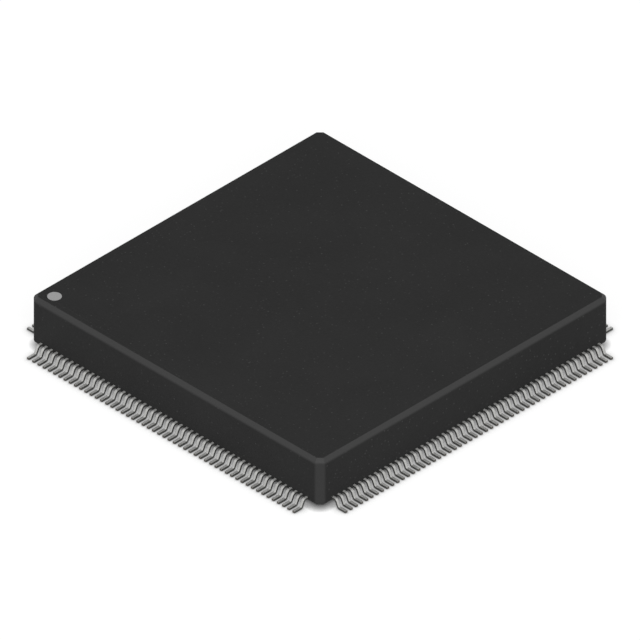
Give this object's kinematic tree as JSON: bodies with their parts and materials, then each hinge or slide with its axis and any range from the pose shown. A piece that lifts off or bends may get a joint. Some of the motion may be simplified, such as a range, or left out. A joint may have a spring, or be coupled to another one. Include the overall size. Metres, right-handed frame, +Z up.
{
  "type": "quad flat pack integrated circuit",
  "caption": "Square plastic chip package with a row of fine gull wing leads on each side, bevelled edges and a printed pin one dot.",
  "frame": {"origin": "middle of the package on the seating plane, where the feet of the leads rest on the board", "axes": "+Z up out of the board, the pin one dot at the -X -Y corner, pin numbers running counter-clockwise seen from above"},
  "size_m": [0.0306, 0.0306, 0.0041],
  "materials": {
    "moulding_compound": "matte black filled epoxy with a fine eroded mould texture",
    "dot_ink": "matte light grey print",
    "tinned_lead": "satin tin plating on copper alloy",
    "polyimide_tape": "amber polyimide film",
    "copper_pad": "plain stamped copper alloy",
    "attach_epoxy": "silver filled adhesive",
    "silicon": "polished silicon",
    "bond_gold": "gold wire"
  },
  "bodies": {
    "root": {"mould_body": "moulding_compound", "pin_one_dot": "dot_ink", "lead_tape": "polyimide_tape", "die_pad": "copper_pad", "die_attach": "attach_epoxy", "die": "silicon", "leads_front_1": "tinned_lead", "leads_front_2": "tinned_lead", "leads_front_3": "tinned_lead", "leads_front_4": "tinned_lead", "leads_right_1": "tinned_lead", "leads_right_2": "tinned_lead", "leads_right_3": "tinned_lead", "leads_right_4": "tinned_lead", "leads_back_1": "tinned_lead", "leads_back_2": "tinned_lead", "leads_back_3": "tinned_lead", "leads_back_4": "tinned_lead", "leads_left_1": "tinned_lead", "leads_left_2": "tinned_lead", "leads_left_3": "tinned_lead", "leads_left_4": "tinned_lead", "bond_wires_front_1": "bond_gold", "bond_wires_front_2": "bond_gold", "bond_wires_front_3": "bond_gold", "bond_wires_front_4": "bond_gold", "bond_wires_right_1": "bond_gold", "bond_wires_right_2": "bond_gold", "bond_wires_right_3": "bond_gold", "bond_wires_right_4": "bond_gold", "bond_wires_back_1": "bond_gold", "bond_wires_back_2": "bond_gold", "bond_wires_back_3": "bond_gold", "bond_wires_back_4": "bond_gold", "bond_wires_left_1": "bond_gold", "bond_wires_left_2": "bond_gold", "bond_wires_left_3": "bond_gold", "bond_wires_left_4": "bond_gold"}
  },
  "joints": []
}
